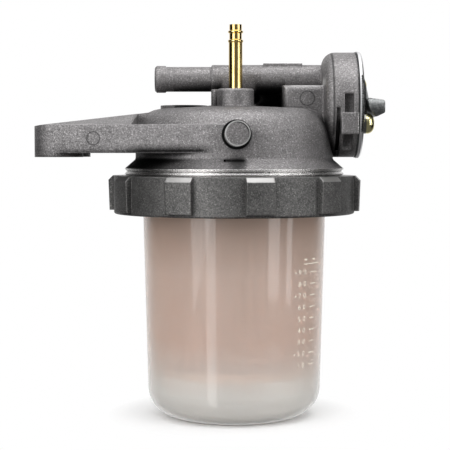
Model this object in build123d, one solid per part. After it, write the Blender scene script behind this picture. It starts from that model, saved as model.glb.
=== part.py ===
from build123d import *
import math
import os

# Fuel filter assembly, all sizes in millimetres.
# Origin: centre of the cup's flat base. +Z runs up the cup's axis, +X points to the valve,
# and -Y is the front, the side of the brass pipe.
# The sizes run from the inside out: what fits round a piece is that piece's size and a gap or wall.

# Clearances, small edges and working lengths used all over
RUN_GAP = 0.05
SLIDE_GAP = 0.1
SOFT_EDGE = 0.5
CUT_OVER = 1.0
CUT_SIZE = 300.0

# Filter element: pleated paper between two caps, round a perforated tube
ELEMENT_H = 77.0
CAP_R = 25.7
CAP_T = 1.2
CAP_RIM_H = 3.0
CAP_RIM_T = 0.5
CAP_EDGE = 0.3
PAPER_T = 0.7
PLEATS = 42
PLEAT_DEPTH = 10.9
CORE_GAP = 0.8
CORE_WALL = 0.8
CORE_HOLE_R = 2.2
CORE_HOLES_ROUND = 6
CORE_ROWS = 5
MEDIA_R = CAP_R - CAP_RIM_T - SLIDE_GAP
MEDIA_IN_R = MEDIA_R - PLEAT_DEPTH
CORE_R = MEDIA_IN_R - CORE_GAP

# Spring under the element
SPRING_H = 12.1
SPRING_R = 8.0
SPRING_WIRE = 1.2
SPRING_TURNS = 3.0
SPRING_SIDE_GAP = 0.8
SPRING_SEAT_H = 1.4
SPRING_SEAT_R = SPRING_R - SPRING_WIRE / 2 - SPRING_SIDE_GAP

# Cup: translucent moulded bowl with a flange for the ring nut and a spigot inside the head
CUP_WALL = 1.8
CUP_FLOOR = 2.0
CUP_GAP = 0.7
CUP_FLARE = 1.85
CUP_CORNER_R = 9.5
CUP_ROOT_R = 0.6
ELEMENT_IN_HEAD = 21.5
FLANGE_T = 3.0
FLANGE_LEDGE = 1.8
SPIGOT_STEP = 0.8
SPIGOT_H = 5.0
SPIGOT_WALL = 2.0
SPIGOT_LEAD = 0.5
ELEMENT_Z = CUP_FLOOR + SPRING_H
ELEMENT_TOP_Z = ELEMENT_Z + ELEMENT_H
CUP_LOW_R = CAP_R + CUP_GAP + CUP_WALL
CUP_TOP_R = CUP_LOW_R + CUP_FLARE
FLANGE_Z = ELEMENT_TOP_Z - ELEMENT_IN_HEAD
FLANGE_TOP_Z = FLANGE_Z + FLANGE_T
SPIGOT_R = CUP_TOP_R + SPIGOT_STEP
SPIGOT_TOP_Z = FLANGE_TOP_Z + SPIGOT_H

# Seal between the cup's flange and the head
SEAL_W = 2.8
SEAL_SEAT_H = 2.1
SEAL_GAP = 0.06
SEAL_EDGE = 0.5
SEAL_SEAT_R = SPIGOT_R + SEAL_W
FLANGE_R = SEAL_SEAT_R + FLANGE_LEDGE

# Threaded skirt of the head
FLANGE_GAP = 0.5
THREAD_PITCH = 1.5
THREAD_DEPTH = 0.85
THREAD_FLAT = 0.15
THREAD_TURNS = 6
SKIRT_GAP = 0.3
SPIGOT_GAP = 1.05
SPIGOT_END_GAP = 1.5
THREAD_R = FLANGE_R + FLANGE_GAP
SKIRT_Z = FLANGE_TOP_Z + SKIRT_GAP
SKIRT_IN_R = SPIGOT_R + SPIGOT_GAP

# Ring nut: cast ring with rectangular lobes
RING_WALL = 3.55
RING_H = 12.4
RING_LIP_T = 3.0
RING_NECK_GAP = 0.5
RING_EDGE = 0.6
LUG_COUNT = 10
LUG_H = 2.0
LUG_W = 8.8
LUG_CHAMFER = 1.5
LUG_LIFT = 1.0
LUG_DRAFT = 0.35
LUG_ROOT = 1.0
LUG_PHASE = 11.0
RING_R = THREAD_R + RING_WALL
RING_Z = FLANGE_Z - RUN_GAP - RING_LIP_T
RING_TOP_Z = RING_Z + RING_H
LUG_R = RING_R + LUG_H

# Dome of the head
NECK_H = 2.4
NECK_IN = 2.7
NECK_EDGE_R = 1.0
DOME_WALL = 4.0
DOME_ROOF = 5.5
DOME_CROWN = 2.0
DOME_SHOULDER_R = 8.5
HEAD_ROOM = 5.5
CEILING_CORNER_R = 4.0
DOME_R = THREAD_R - THREAD_DEPTH - NECK_IN
CAVITY_R = DOME_R - DOME_WALL
NECK_Z = SKIRT_Z + THREAD_TURNS * THREAD_PITCH + NECK_H
CEILING_Z = ELEMENT_TOP_Z + HEAD_ROOM
DOME_TOP_Z = CEILING_Z + DOME_ROOF
DOME_EDGE_Z = DOME_TOP_Z - DOME_CROWN

# Mounting arm
ARM_REACH = 23.85
ARM_BOLT_SPACING = 23.0
ARM_BOSS_R = 7.75
ARM_HOLE_R = 4.25
ARM_LIFT = 2.0
ARM_BOSS_DROP = 1.3
ARM_EDGE_H = 8.9
ARM_TIP_DROP = 0.35
ARM_RISE = 7.0
ARM_SIDE_FALL = 14.0
ARM_STEP_IN = 1.6
ARM_STEP_LEAN = 5.2
SPINE_HALF_W = 9.0
ARM_SINK = 0.15
ARM_BOSS_X = -DOME_R - ARM_REACH
ARM_TIP_X = ARM_BOSS_X - ARM_BOSS_R
ARM_STEP_X = -DOME_R + ARM_STEP_IN
ARM_HALF_SPACING = ARM_BOLT_SPACING / 2
ARM_Z = NECK_Z + ARM_LIFT
ARM_BOSS_Z = ARM_Z - ARM_BOSS_DROP
ARM_EDGE_Z = ARM_Z + ARM_EDGE_H
ARM_TIP_TOP_Z = ARM_EDGE_Z - ARM_TIP_DROP

# Valve housing on the right, its axis along X, and the stack of pieces inside it
VALVE_DROP = 0.05
HOUSING_SINK = 0.4
POCKET_WALL = 1.4
VALVE_SEAL_T = 2.0
ROTOR_R = 10.0
ROTOR_T = 2.8
ROTOR_GAP = 0.4
VALVE_SEAL_GAP = 0.2
GROOVE_DEEP = 1.4
FACE_ROOM = 1.1
GASKET_T = 0.5
GASKET_STEP = 0.2
PLATE_T = 1.35
PLATE_OVER = 0.3
PLATE_EDGE = 0.5
CROWN_H = 0.8
CROWN_EDGE = 0.4
STEM_R = 4.4
STEM_GAP = 0.1
STEM_RING_T = 1.5
STEM_RING_EDGE = 0.45
WASHER_ROOM = 3.1
WASHER_W = 1.0
WASHER_T = 0.35
WASHER_GAP = 0.2
SCREW_R = 1.95
SCREW_HOLE_R = 2.0
SCREW_CLEAR_R = 2.2
SCREW_WALL = 1.07
SCREW_ANGLE = 28.0
SCREW_OUT = 3.63
SCREW_DEEP = 5.5
SCREW_END_GAP = 0.5
SCREW_HEAD_R = 3.3
SCREW_HEAD_H = 3.5
SCREW_HEAD_ROUND = 2.3
CROSS_W = 0.9
CROSS_L = 3.6
CROSS_DEEP = 1.4
VALVE_Z = DOME_TOP_Z - VALVE_DROP
HOUSING_X = DOME_R - HOUSING_SINK
POCKET_FLOOR_X = HOUSING_X + POCKET_WALL
POCKET_R = ROTOR_R + ROTOR_GAP
ROTOR_X = POCKET_FLOOR_X + VALVE_SEAL_T + RUN_GAP
ROTOR_BACK_X = ROTOR_X + ROTOR_T
HOUSING_FACE_X = ROTOR_BACK_X + FACE_ROOM
PLATE_X = HOUSING_FACE_X + GASKET_T
PLATE_FACE_X = PLATE_X + PLATE_T
CROWN_IN_X = PLATE_X + CROWN_H
CROWN_X = PLATE_FACE_X + CROWN_H
CROWN_R = STEM_R + STEM_RING_T + WASHER_ROOM
SCREW_RING_R = POCKET_R + SCREW_WALL + SCREW_HOLE_R
HOUSING_R = SCREW_RING_R + SCREW_OUT
PLATE_R = HOUSING_R + PLATE_OVER

# Outside of the valve housing
SHOULDER_L = 3.3
SHOULDER_R = 4.2
PORT_RING_R = 6.5
PORT_HALF_ANGLE = 60.0
PORT_R = 2.0
UPPER_PORT_L = 7.0
BLOCK_L = 16.3
BLOCK_FRONT_Y = -9.5
BLOCK_BACK_Y = 10.0
BLOCK_RISE = 6.05
BLOCK_DROP = 7.85
BLOCK_EDGE = 1.6
SCREW_BOSS_STEP = 1.9
SCREW_BOSS_IN = 0.1
SCREW_BOSS_HALF_H = 3.4
CORE_SLOT_STEP = 2.8
CORE_SLOT_W = 3.0
NEAR_SLOT_DEEP = 3.2
NEAR_SLOT_H = 6.0
FAR_SLOT_DEEP = 8.5
FAR_SLOT_H = 5.0
GROOVE_STEP = 0.3
GROOVE_W = 1.3
GROOVE_IN = 1.8
GROOVE_NEAR = 1.3
GROOVE_FAR = 15.0

# Lever: hub on the rotor's stem and a grip that points to the front
HUB_R = 6.3
HUB_T = 1.1
HUB_RISE = 0.9
HUB_TOP_R = 2.5
LEVER_REACH = 15.2
LEVER_TAIL = 5.0
LEVER_TIP_R = 3.2
LEVER_OUT = 5.8
LEVER_IN = 0.1
LEVER_NOSE = 3.0
LEVER_TOP = 2.0
LEVER_TOP_FALL = 0.9
LEVER_LOW = 4.3
LEVER_EDGE = 0.7
LEVER_X = CROWN_X + SLIDE_GAP

# Hose stub along X on top of the head
HOSE_RISE = 8.65
HOSE_Y = 5.0
HOSE_R = 4.1
HOSE_BEAD_R = 4.45
HOSE_BEAD_L = 4.0
HOSE_BEAD_EDGE = 0.6
HOSE_L = 18.7
HOSE_STEP_X = -7.5
HOSE_BODY_R = 4.75
HOSE_BORE_R = 2.6
HOSE_BORE_END = 3.0
PAD_X = 9.7
PAD_L = 12.8
PAD_W = 5.0
PAD_H = 0.4
HOSE_Z = VALVE_Z + HOSE_RISE
HOSE_END_X = HOSE_STEP_X - HOSE_L

# Boss and pillar for the brass pipe
PIPE_X = 0.4
PIPE_Y = -10.0
PIPE_BOSS_R = 5.9
PIPE_BOSS_H = 4.75
PIPE_H = 20.5
PIPE_R = 2.2
PIPE_TIP_R = 2.0
PIPE_BORE_R = 1.4
PIPE_BEAD_H = 0.45
PIPE_BEAD_HALF_L = 0.55
PIPE_BEAD_FLAT = 0.4
PIPE_BEAD_DROP = 2.35
PIPE_BEAD_GAP = 2.9
PIPE_INSERT = 6.0
PILLAR_W = 13.5
PILLAR_FRONT_Y = -7.0
PILLAR_EDGE_R = 1.5
PIPE_BOSS_Z = DOME_TOP_Z + PIPE_BOSS_H
PIPE_TOP_Z = PIPE_BOSS_Z + PIPE_H

# Front boss and the small relief below it
BOSS_X = 0.8
BOSS_RISE = 7.9
BOSS_R = 4.3
BOSS_PROUD = 2.2
BOSS_EDGE = 0.3
RELIEF_W = 6.5
RELIEF_H = 0.7
RELIEF_DEEP = 0.9

# Rear machined boss
REAR_BOSS_X = -17.0
REAR_BOSS_Y = 17.3
REAR_BOSS_R = 8.0
REAR_BOSS_RISE = 0.3

# Rear hose stub
OUTLET_X = 13.0
OUTLET_RISE = 2.3
OUTLET_START_Y = 13.0
OUTLET_REACH = 14.6
GALLERY_R = 4.8
GALLERY_BORE_R = 2.8
OUTLET_Z = DOME_TOP_Z + OUTLET_RISE
OUTLET_END_Y = DOME_R + OUTLET_REACH

# Standpipe in the head and the rubber ring that seals on it
STANDPIPE_R = 5.0
STANDPIPE_BORE_R = 3.6
STANDPIPE_DROP = 11.0
STANDPIPE_INSERT = 2.0
STANDPIPE_BOSS_WALL = 3.0
STANDPIPE_BOSS_DROP = 4.0
GROMMET_WALL = 3.2
GROMMET_LIP = 1.0
GROMMET_LIP_T = 1.0
STANDPIPE_TOP_Z = CEILING_Z + STANDPIPE_INSERT
GROMMET_R = STANDPIPE_R + GROMMET_WALL

LOW = (Align.CENTER, Align.CENTER, Align.MIN)


def lathe(points, corners=0.0):
    """Solid turned about Z from an outline of (radius, height) points."""
    outline = FilletPolyline(*points, radius=corners, close=True)
    return revolve(Plane.XZ * make_face(outline), axis=Axis.Z)


def bevelled(points, bevels):
    """Outline with its corners cut off, each by its own length."""
    outline = []
    for index, point in enumerate(points):
        if bevels[index] == 0:
            outline.append(point)
            continue
        corner = Vector(*point)
        for other in (points[index - 1], points[(index + 1) % len(points)]):
            cut = corner + (Vector(*other) - corner).normalized() * bevels[index]
            outline.append((cut.X, cut.Y))
    return outline


def tube(outer_r, inner_r, low_z, high_z):
    """Plain ring about Z."""
    ring = Circle(outer_r) - Circle(inner_r)
    return Pos(0, 0, low_z) * extrude(ring, high_z - low_z)


def rod(start, end, radius):
    """Round bar from one point to another."""
    path = Vector(*end) - Vector(*start)
    return Plane(origin=start, z_dir=path) * Cylinder(radius, path.length, align=LOW)


def block(low, high):
    """Box between two corners."""
    size = [b - a for a, b in zip(low, high)]
    middle = [(a + b) / 2 for a, b in zip(low, high)]
    return Pos(*middle) * Box(*size)


def above(place):
    """All the room over a placed XY plane, for cutting with."""
    return place * Box(CUT_SIZE, CUT_SIZE, CUT_SIZE, align=LOW)


def on_valve_axis(shape):
    """Take a shape turned about Z to the valve's axis, its Z becoming +X."""
    return Pos(0, 0, VALVE_Z) * Rot(0, 90, 0) * shape


def make_bowl():
    """Cup with a rounded bottom, a flange and a spigot."""
    outside = lathe(
        [
            (0, 0),
            (CUP_LOW_R, 0),
            (CUP_TOP_R, FLANGE_Z),
            (FLANGE_R, FLANGE_Z),
            (FLANGE_R, FLANGE_TOP_Z),
            (SPIGOT_R, FLANGE_TOP_Z),
            (SPIGOT_R, SPIGOT_TOP_Z - SPIGOT_LEAD),
            (SPIGOT_R - SPIGOT_LEAD, SPIGOT_TOP_Z),
            (0, SPIGOT_TOP_Z),
        ],
        [0, CUP_CORNER_R, CUP_ROOT_R, 0, 0, 0, 0, 0, 0],
    )
    inside = lathe(
        [
            (0, CUP_FLOOR),
            (CUP_LOW_R - CUP_WALL, CUP_FLOOR),
            (CUP_TOP_R - CUP_WALL, FLANGE_Z),
            (SPIGOT_R - SPIGOT_WALL, FLANGE_TOP_Z),
            (SPIGOT_R - SPIGOT_WALL, SPIGOT_TOP_Z + CUT_OVER),
            (0, SPIGOT_TOP_Z + CUT_OVER),
        ],
        [0, CUP_CORNER_R - CUP_WALL, 0, 0, 0, 0],
    )
    return outside - inside


def make_bowl_seal():
    """Flat rubber ring round the cup's spigot."""
    outer_r = SEAL_SEAT_R - SEAL_GAP
    top_z = SKIRT_Z + SEAL_SEAT_H - SEAL_GAP
    corners = [
        (SPIGOT_R, FLANGE_TOP_Z),
        (outer_r, FLANGE_TOP_Z),
        (outer_r, top_z),
        (SPIGOT_R, top_z),
    ]
    return lathe(bevelled(corners, [SEAL_EDGE] * 4))


def make_ring_nut():
    """Ring nut with its lobes, plain in the bore."""
    neck_r = CUP_TOP_R + RING_NECK_GAP
    bore_r = THREAD_R + SLIDE_GAP
    body = lathe(
        [
            (neck_r, RING_Z),
            (RING_R, RING_Z),
            (RING_R, RING_TOP_Z),
            (bore_r + SOFT_EDGE, RING_TOP_Z),
            (bore_r, RING_TOP_Z - SOFT_EDGE),
            (bore_r, RING_Z + RING_LIP_T),
            (neck_r, RING_Z + RING_LIP_T),
        ],
        [0, RING_EDGE, 0, 0, 0, 0, 0],
    )
    lug_band = lathe(
        [
            (RING_R - LUG_ROOT, RING_Z + LUG_LIFT),
            (LUG_R - LUG_DRAFT, RING_Z + LUG_LIFT),
            (LUG_R, RING_TOP_Z - LUG_CHAMFER),
            (LUG_R - LUG_CHAMFER, RING_TOP_Z),
            (RING_R - LUG_ROOT, RING_TOP_Z),
        ]
    )
    stock = block((0, -LUG_W / 2, RING_Z), (LUG_R + CUT_OVER, LUG_W / 2, RING_TOP_Z))
    stock = fillet(stock.edges().filter_by(Axis.Z).group_by(Axis.X)[-1], SOFT_EDGE)
    for index in range(LUG_COUNT):
        turn = -90 + LUG_PHASE + index * 360 / LUG_COUNT
        body += lug_band & (Rot(0, 0, turn) * stock)
    return body


def thread_outline():
    """Crests and roots of the skirt's thread, from the bottom up."""
    points = []
    for turn in range(THREAD_TURNS):
        z = SKIRT_Z + (turn + 0.5) * THREAD_PITCH
        points.append((THREAD_R, z - THREAD_FLAT / 2))
        points.append((THREAD_R, z + THREAD_FLAT / 2))
        if turn < THREAD_TURNS - 1:
            points.append((THREAD_R - THREAD_DEPTH, z + THREAD_PITCH / 2))
    return points


def make_dome():
    """Skirt, neck and dome of the head, solid inside."""
    skirt = [(0, SKIRT_Z), (THREAD_R - THREAD_DEPTH, SKIRT_Z)] + thread_outline()
    wall = [(DOME_R, NECK_Z), (DOME_R, DOME_EDGE_Z), (0, DOME_TOP_Z)]
    corners = [0] * len(skirt) + [NECK_EDGE_R, DOME_SHOULDER_R, 0]
    return lathe(skirt + wall, corners)


def make_cavity():
    """Hollow inside the head: seal seat, spigot bore and the room over the element."""
    step_z = SPIGOT_TOP_Z + SPIGOT_END_GAP
    return lathe(
        [
            (0, SKIRT_Z - CUT_OVER),
            (SEAL_SEAT_R, SKIRT_Z - CUT_OVER),
            (SEAL_SEAT_R, SKIRT_Z + SEAL_SEAT_H),
            (SKIRT_IN_R, SKIRT_Z + SEAL_SEAT_H),
            (SKIRT_IN_R, step_z),
            (CAVITY_R, step_z + SKIRT_IN_R - CAVITY_R),
            (CAVITY_R, CEILING_Z),
            (0, CEILING_Z),
        ],
        [0, 0, 0, 0, 0, 0, CEILING_CORNER_R, 0],
    )


def arm_plan():
    """Outline of the arm seen from above: the two bolt bosses drawn to the dome."""
    bosses = [
        Pos(ARM_BOSS_X, side * ARM_HALF_SPACING) * Circle(ARM_BOSS_R) for side in (-1, 1)
    ]
    shapes = Circle(DOME_R - ARM_SINK) + bosses[0] + bosses[1]
    return make_hull(shapes.edges())


def over_arm_side(side):
    """Room over one side of the arm, whose top falls outwards to a level edge."""
    edge_angle = math.asin((DOME_R - ARM_BOSS_R) / math.hypot(ARM_BOSS_X, ARM_HALF_SPACING))
    lean = math.degrees(edge_angle - math.atan(ARM_HALF_SPACING / -ARM_BOSS_X))
    edge = Rot(0, 0, side * lean) * Pos(0, side * DOME_R, ARM_EDGE_Z)
    return above(edge * Rot(side * -ARM_SIDE_FALL, 0, 0))


def beside_spine(side):
    """Room over one side of the arm by the dome, where its top steps down to the level edge."""
    corner = Pos(ARM_STEP_X, side * SPINE_HALF_W, ARM_EDGE_Z) * Rot(0, 0, side * ARM_STEP_LEAN)
    low_y, high_y = sorted((0, side * CUT_SIZE))
    return corner * block((0, low_y, 0), (CUT_SIZE, high_y, CUT_SIZE))


def make_arm():
    """Flat arm with a rising top, two bolt bosses and a spine to the pillar."""
    arm = Pos(0, 0, ARM_Z) * extrude(arm_plan(), DOME_TOP_Z - ARM_Z)
    for side in (-1, 1):
        boss = Pos(ARM_BOSS_X, side * ARM_HALF_SPACING, ARM_BOSS_Z)
        arm += boss * Cylinder(ARM_BOSS_R, DOME_TOP_Z - ARM_BOSS_Z, align=LOW)
    arm -= above(Pos(ARM_TIP_X, 0, ARM_TIP_TOP_Z) * Rot(0, -ARM_RISE, 0))
    for side in (-1, 1):
        arm -= over_arm_side(side) + beside_spine(side)
    reach = CUT_SIZE / 2
    return arm - block((0, -reach, 0), (reach, reach, CUT_SIZE))


def make_hose_stub():
    """Cast pipe along X, its beaded end to the left."""
    bead_end = (HOSE_END_X + HOSE_BEAD_L, HOSE_Y, HOSE_Z)
    bead = rod((HOSE_END_X, HOSE_Y, HOSE_Z), bead_end, HOSE_BEAD_R)
    bead = chamfer(bead.edges().filter_by(GeomType.CIRCLE), HOSE_BEAD_EDGE)
    slim_start = (HOSE_END_X + HOSE_BEAD_L / 2, HOSE_Y, HOSE_Z)
    slim = rod(slim_start, (HOSE_STEP_X, HOSE_Y, HOSE_Z), HOSE_R)
    thick = rod((HOSE_STEP_X, HOSE_Y, HOSE_Z), (HOUSING_X, HOSE_Y, HOSE_Z), HOSE_BODY_R)
    thick = fillet(thick.edges().sort_by(Axis.X)[0], SOFT_EDGE)
    pad_top = HOSE_Z + HOSE_BODY_R + PAD_H
    pad = block(
        (PAD_X, HOSE_Y - PAD_W / 2, HOSE_Z),
        (PAD_X + PAD_L, HOSE_Y + PAD_W / 2, pad_top),
    )
    return bead + slim + thick + pad


def make_pillar():
    """Web that carries the hose stub over the dome, and the boss of the brass pipe before it."""
    root_z = CEILING_Z + CUT_OVER
    pillar = block(
        (HOSE_STEP_X, PILLAR_FRONT_Y, root_z),
        (HOSE_STEP_X + PILLAR_W, HOSE_Y + HOSE_BODY_R, PIPE_BOSS_Z),
    )
    pillar = fillet(pillar.edges().filter_by(Axis.Z), PILLAR_EDGE_R)
    boss = Pos(PIPE_X, PIPE_Y, root_z)
    boss = boss * Cylinder(PIPE_BOSS_R, PIPE_BOSS_Z - root_z, align=LOW)
    boss = chamfer(boss.edges().sort_by(Axis.Z)[-1], SOFT_EDGE)
    return pillar + boss


def make_front_boss():
    """Round pad on the front of the dome."""
    boss_z = NECK_Z + BOSS_RISE
    boss = rod((BOSS_X, 0, boss_z), (BOSS_X, -DOME_R - BOSS_PROUD, boss_z), BOSS_R)
    return chamfer(boss.edges().sort_by(Axis.Y)[0], BOSS_EDGE)


def make_valve_block():
    """Block that takes the fuel down from the stub to the valve."""
    body = block(
        (HOUSING_X - BLOCK_L, BLOCK_FRONT_Y, VALVE_Z - BLOCK_DROP),
        (HOUSING_X, BLOCK_BACK_Y, VALVE_Z + BLOCK_RISE),
    )
    long_edges = body.edges().filter_by(Axis.X).group_by(Axis.Z)[-1]
    left_edges = body.edges().filter_by(Axis.Z).group_by(Axis.X)[0]
    return fillet(long_edges + left_edges, BLOCK_EDGE)


def screw_places():
    """Centres of the front and rear cover screws, as (y, z)."""
    y = SCREW_RING_R * math.cos(math.radians(SCREW_ANGLE))
    z = SCREW_RING_R * math.sin(math.radians(SCREW_ANGLE))
    return [(-y, VALVE_Z - z), (y, VALVE_Z + z)]


def port_places():
    """Centres of the two ports in the valve, as (y, z)."""
    angle = math.radians(PORT_HALF_ANGLE)
    y = PORT_RING_R * math.cos(angle)
    z = PORT_RING_R * math.sin(angle)
    return [(y, VALVE_Z + z), (y, VALVE_Z - z)]


def make_housing_round():
    """Turned body of the valve housing with a full round shoulder."""
    low_x = HOUSING_X - SHOULDER_L
    corners = [(0, low_x), (HOUSING_R, low_x), (HOUSING_R, HOUSING_FACE_X), (0, HOUSING_FACE_X)]
    return on_valve_axis(lathe(corners, [0, SHOULDER_R, 0, 0]))


def box_round(x_range, y_range, z_range):
    """Box between pairs of values given in any order."""
    corners = [sorted(pair) for pair in (x_range, y_range, z_range)]
    return block([pair[0] for pair in corners], [pair[1] for pair in corners])


def core_slots(side, screw_z):
    """Two slots in one side of the housing, next to the screw boss, and a groove behind them."""
    slot_x = HOUSING_X + CORE_SLOT_STEP
    slot = (slot_x, slot_x + CORE_SLOT_W)
    outside_y = side * (HOUSING_R + CUT_OVER)
    near_z = screw_z - side * SCREW_BOSS_HALF_H
    near_y = side * (HOUSING_R - NEAR_SLOT_DEEP)
    near = box_round(slot, (outside_y, near_y), (near_z, near_z - side * NEAR_SLOT_H))
    far_z = screw_z + side * SCREW_BOSS_HALF_H
    far_y = side * (HOUSING_R - FAR_SLOT_DEEP)
    far = box_round(slot, (outside_y, far_y), (far_z, far_z + side * FAR_SLOT_H))
    groove_x = HOUSING_X + GROOVE_STEP
    round_cut = tube(HOUSING_R + CUT_OVER, HOUSING_R - GROOVE_IN, groove_x, groove_x + GROOVE_W)
    span = (VALVE_Z + side * GROOVE_NEAR, VALVE_Z + side * GROOVE_FAR)
    groove = on_valve_axis(round_cut) & box_round((0, CUT_SIZE), (0, outside_y), span)
    return near + far + groove


def make_housing():
    """Valve housing with its core slots and the two screw bosses."""
    housing = make_housing_round()
    for side, (screw_y, screw_z) in zip((-1, 1), screw_places()):
        housing -= core_slots(side, screw_z)
        housing += box_round(
            (HOUSING_X + SCREW_BOSS_STEP, HOUSING_FACE_X),
            (screw_y / 2, side * (HOUSING_R - SCREW_BOSS_IN)),
            (screw_z - SCREW_BOSS_HALF_H, screw_z + SCREW_BOSS_HALF_H),
        )
    return housing


def make_outlet():
    """Gallery from the standpipe and the rear hose stub."""
    elbow = (OUTLET_X, OUTLET_START_Y, OUTLET_Z)
    end = (OUTLET_X, OUTLET_END_Y, OUTLET_Z)
    outlet = rod((0, HOSE_Y, OUTLET_Z), elbow, GALLERY_R)
    outlet += Pos(*elbow) * Sphere(GALLERY_R)
    outlet += rod(elbow, (OUTLET_X, CAVITY_R, OUTLET_Z), GALLERY_R)
    outlet += rod(elbow, end, HOSE_R)
    bead = rod((OUTLET_X, OUTLET_END_Y - HOSE_BEAD_L, OUTLET_Z), end, HOSE_BEAD_R)
    bead = chamfer(bead.edges().filter_by(GeomType.CIRCLE), HOSE_BEAD_EDGE)
    return outlet + bead


def drill_valve(head):
    """Rotor pocket, ports and screw holes."""
    pocket_l = HOUSING_FACE_X - POCKET_FLOOR_X + CUT_OVER
    head -= on_valve_axis(Pos(0, 0, POCKET_FLOOR_X) * Cylinder(POCKET_R, pocket_l, align=LOW))
    upper, lower = port_places()
    port_end_x = POCKET_FLOOR_X + CUT_OVER
    head -= rod((HOUSING_X - UPPER_PORT_L, *upper), (port_end_x, *upper), PORT_R)
    head -= rod((CAVITY_R - CEILING_CORNER_R, *lower), (port_end_x, *lower), PORT_R)
    for place in screw_places():
        start = (HOUSING_FACE_X - SCREW_DEEP, *place)
        head -= rod(start, (HOUSING_FACE_X + CUT_OVER, *place), SCREW_HOLE_R)
    return head


def drill_head(head):
    """All bores of the head."""
    bore_end = (HOUSING_X - HOSE_BORE_END, HOSE_Y, HOSE_Z)
    head -= rod((HOSE_END_X - CUT_OVER, HOSE_Y, HOSE_Z), bore_end, HOSE_BORE_R)
    pipe_low = (PIPE_X, PIPE_Y, PIPE_BOSS_Z - PIPE_INSERT)
    head -= rod(pipe_low, (PIPE_X, PIPE_Y, PIPE_TOP_Z), PIPE_R)
    head -= rod((PIPE_X, PIPE_Y, CEILING_Z - CUT_OVER), (PIPE_X, PIPE_Y, PIPE_BOSS_Z), PIPE_BORE_R)
    boss_low_z = CEILING_Z - STANDPIPE_BOSS_DROP
    head -= rod((0, 0, boss_low_z - CUT_OVER), (0, 0, STANDPIPE_TOP_Z), STANDPIPE_R)
    head -= rod((0, 0, CEILING_Z), (0, 0, OUTLET_Z), GALLERY_BORE_R)
    elbow = (OUTLET_X, OUTLET_START_Y, OUTLET_Z)
    head -= rod((0, 0, OUTLET_Z), elbow, GALLERY_BORE_R)
    head -= Pos(*elbow) * Sphere(GALLERY_BORE_R)
    head -= rod(elbow, (OUTLET_X, OUTLET_END_Y + CUT_OVER, OUTLET_Z), HOSE_BORE_R)
    for side in (-1, 1):
        place = (ARM_BOSS_X, side * ARM_HALF_SPACING)
        head -= rod((*place, ARM_BOSS_Z - CUT_OVER), (*place, DOME_TOP_Z), ARM_HOLE_R)
    return head


def make_head():
    """The whole head casting, one solid."""
    head = make_dome() + make_arm()
    head += make_pillar()
    head += make_hose_stub()
    head += make_valve_block()
    head += make_housing()
    head += make_outlet()
    head += make_front_boss()
    shoulder_z = DOME_EDGE_Z - DOME_SHOULDER_R
    rear = Pos(REAR_BOSS_X, REAR_BOSS_Y, shoulder_z)
    rear_h = DOME_TOP_Z + REAR_BOSS_RISE - shoulder_z
    head += rear * Cylinder(REAR_BOSS_R, rear_h, align=LOW)
    head -= make_cavity()
    boss = Pos(0, 0, CEILING_Z - STANDPIPE_BOSS_DROP)
    boss_r = STANDPIPE_R + STANDPIPE_BOSS_WALL
    head += boss * Cylinder(boss_r, STANDPIPE_BOSS_DROP + CUT_OVER, align=LOW)
    head -= block(
        (BOSS_X - RELIEF_W / 2 - CUT_OVER, -DOME_R - CUT_OVER, NECK_Z - RELIEF_H),
        (BOSS_X + RELIEF_W / 2 - CUT_OVER, -DOME_R + RELIEF_DEEP, NECK_Z),
    )
    return drill_valve(drill_head(head))


def make_return_pipe():
    """Brass pipe with two beads, a little slimmer above the lower bead."""
    low = PIPE_BOSS_Z - PIPE_INSERT
    bead_top = PIPE_TOP_Z - PIPE_BEAD_DROP
    bead_r = PIPE_TIP_R + PIPE_BEAD_H
    points = [(PIPE_BORE_R, low), (PIPE_R, low)]
    for z, below_r in ((bead_top - PIPE_BEAD_GAP, PIPE_R), (bead_top, PIPE_TIP_R)):
        points += [
            (below_r, z - PIPE_BEAD_HALF_L),
            (bead_r, z - PIPE_BEAD_FLAT / 2),
            (bead_r, z + PIPE_BEAD_FLAT / 2),
            (PIPE_TIP_R, z + PIPE_BEAD_HALF_L),
        ]
    points += [(PIPE_TIP_R, PIPE_TOP_Z), (PIPE_BORE_R, PIPE_TOP_Z)]
    return Pos(PIPE_X, PIPE_Y, 0) * lathe(points)


def make_standpipe():
    """Tube that takes the clean fuel up from the element's middle."""
    low_z = ELEMENT_TOP_Z - STANDPIPE_DROP
    return tube(STANDPIPE_R, STANDPIPE_BORE_R, low_z, STANDPIPE_TOP_Z)


def make_valve_seal():
    """Rubber disc with two ports, under the rotor."""
    disc = Pos(0, 0, POCKET_FLOOR_X) * Cylinder(POCKET_R - VALVE_SEAL_GAP, VALVE_SEAL_T, align=LOW)
    seal = on_valve_axis(disc)
    for place in port_places():
        seal -= rod((POCKET_FLOOR_X - CUT_OVER, *place), (ROTOR_X, *place), PORT_R)
    return seal


def rotor_groove():
    """Curved groove in the rotor that joins the two ports in the rest position."""
    arc = CenterArc((0, 0), PORT_RING_R, -PORT_HALF_ANGLE, 2 * PORT_HALF_ANGLE)
    band = Plane.YZ * trace(arc, line_width=2 * PORT_R)
    return Pos(ROTOR_X - CUT_OVER, 0, VALVE_Z) * extrude(band, GROOVE_DEEP + CUT_OVER)


def lever_section():
    """Section of the grip seen from its tip: a sloping top, a full nose and a lower lip."""
    top_z = VALVE_Z + LEVER_TOP
    low_z = VALVE_Z - LEVER_LOW
    out_x = LEVER_X + LEVER_OUT
    mid_x = LEVER_X + LEVER_NOSE
    return FilletPolyline(
        (LEVER_X + LEVER_IN, 0, top_z),
        (out_x, 0, top_z - LEVER_TOP_FALL),
        (out_x, 0, low_z + 2 * LEVER_EDGE),
        (mid_x, 0, low_z),
        (LEVER_X + HUB_T, 0, VALVE_Z - LEVER_TOP),
        radius=LEVER_EDGE,
        close=True,
    )


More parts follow.
